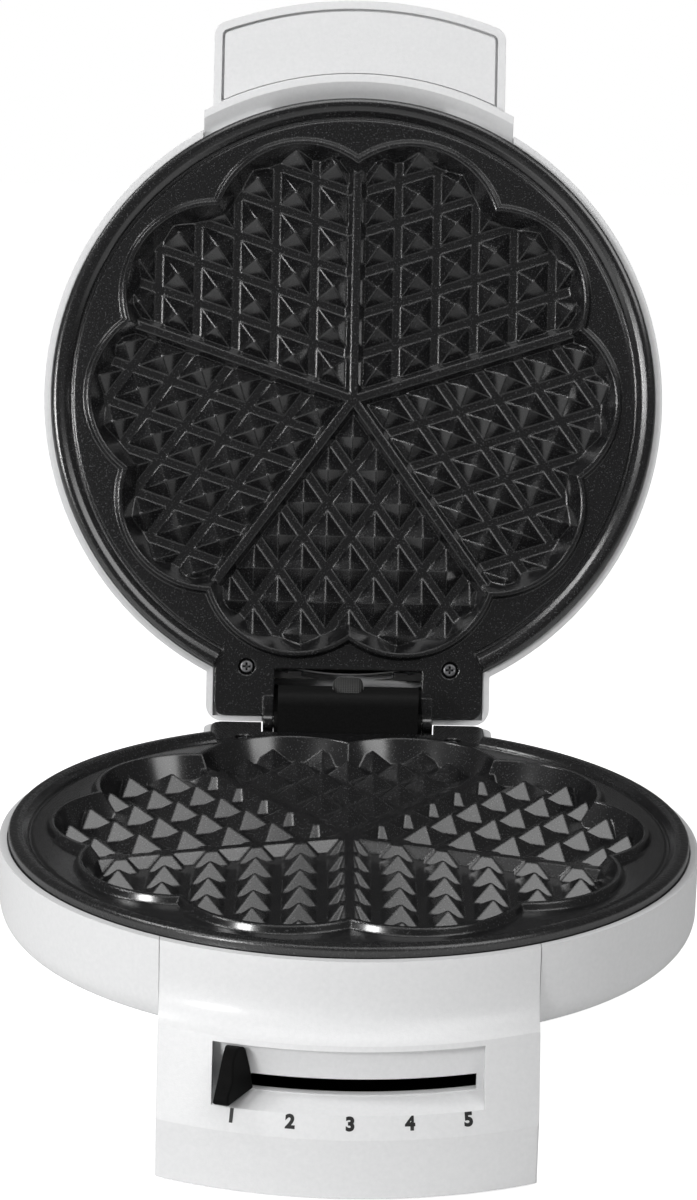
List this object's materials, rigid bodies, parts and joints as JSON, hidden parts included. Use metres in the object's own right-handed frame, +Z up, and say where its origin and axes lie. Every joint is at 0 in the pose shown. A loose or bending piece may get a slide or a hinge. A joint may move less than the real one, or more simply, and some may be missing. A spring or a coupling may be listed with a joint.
{
  "type": "heart waffle maker",
  "caption": "White electric heart waffle maker, open, with two cast plates on a rear hinge, a front grip and a sliding browning control.",
  "frame": {"origin": "on the table under the middle of the round base, on the upright axis of the lower plate", "axes": "+Z up; +Y to the hinge at the back; -Y to the front panel with the slider; +X to the right seen from the front; the lid stands open at rest"},
  "size_m": [0.232, 0.3537, 0.329],
  "materials": {
    "white_housing": "satin",
    "black_plastic": "matte",
    "knob_plastic": "matte",
    "screw_steel": "satin",
    "foot_rubber": "matte",
    "pin_steel": "satin",
    "coated_casting": "non-stick coated, dark, satin",
    "heater_steel": "oxidised",
    "reflector_sheet": "bright",
    "thermostat_ceramic": "matte",
    "terminal_plastic": "matte",
    "sleeve_fabric": "matte",
    "lamp_red": "clear red",
    "lamp_green": "clear green"
  },
  "bodies": {
    "base": {"base_dish": "white_housing", "front_panel": "white_housing", "bottom_cover": "black_plastic", "bottom_cover_screws": "screw_steel", "front_panel_screws": "screw_steel", "rubber_feet": "foot_rubber", "cord_gland": "black_plastic", "hinge_block": "black_plastic", "hinge_pin": "pin_steel", "hinge_washers": "black_plastic", "lower_plate": "coated_casting", "lower_plate_screws": "screw_steel", "lower_heater": "heater_steel", "lower_reflector": "reflector_sheet", "thermostat": "thermostat_ceramic", "thermostat_bracket": "reflector_sheet", "terminal_block": "terminal_plastic", "thermal_fuse": "thermostat_ceramic", "lead_sleeve": "sleeve_fabric"},
    "lid": {"lid_cover": "white_housing", "lid_handle": "white_housing", "handle_insert": "white_housing", "handle_screws": "screw_steel", "upper_plate": "coated_casting", "upper_plate_screws": "screw_steel", "upper_heater": "heater_steel", "upper_reflector": "reflector_sheet", "power_lamp": "lamp_red", "ready_lamp": "lamp_green"},
    "slider": {"thermostat_lever": "pin_steel", "slider_knob": "knob_plastic"}
  },
  "joints": [
    {"name": "lid_hinge", "type": "hinge", "parent": "base", "child": "lid", "pos_m": [0, 0.1218, 0.0704], "axis": [1, 0, 0], "range_deg": [0, 106.4], "deforming": ["lead_sleeve"]},
    {"name": "browning_slider", "type": "hinge", "parent": "base", "child": "slider", "pos_m": [0, 0, 0.034], "axis": [0, 0, 1], "range_deg": [0, 31]}
  ]
}
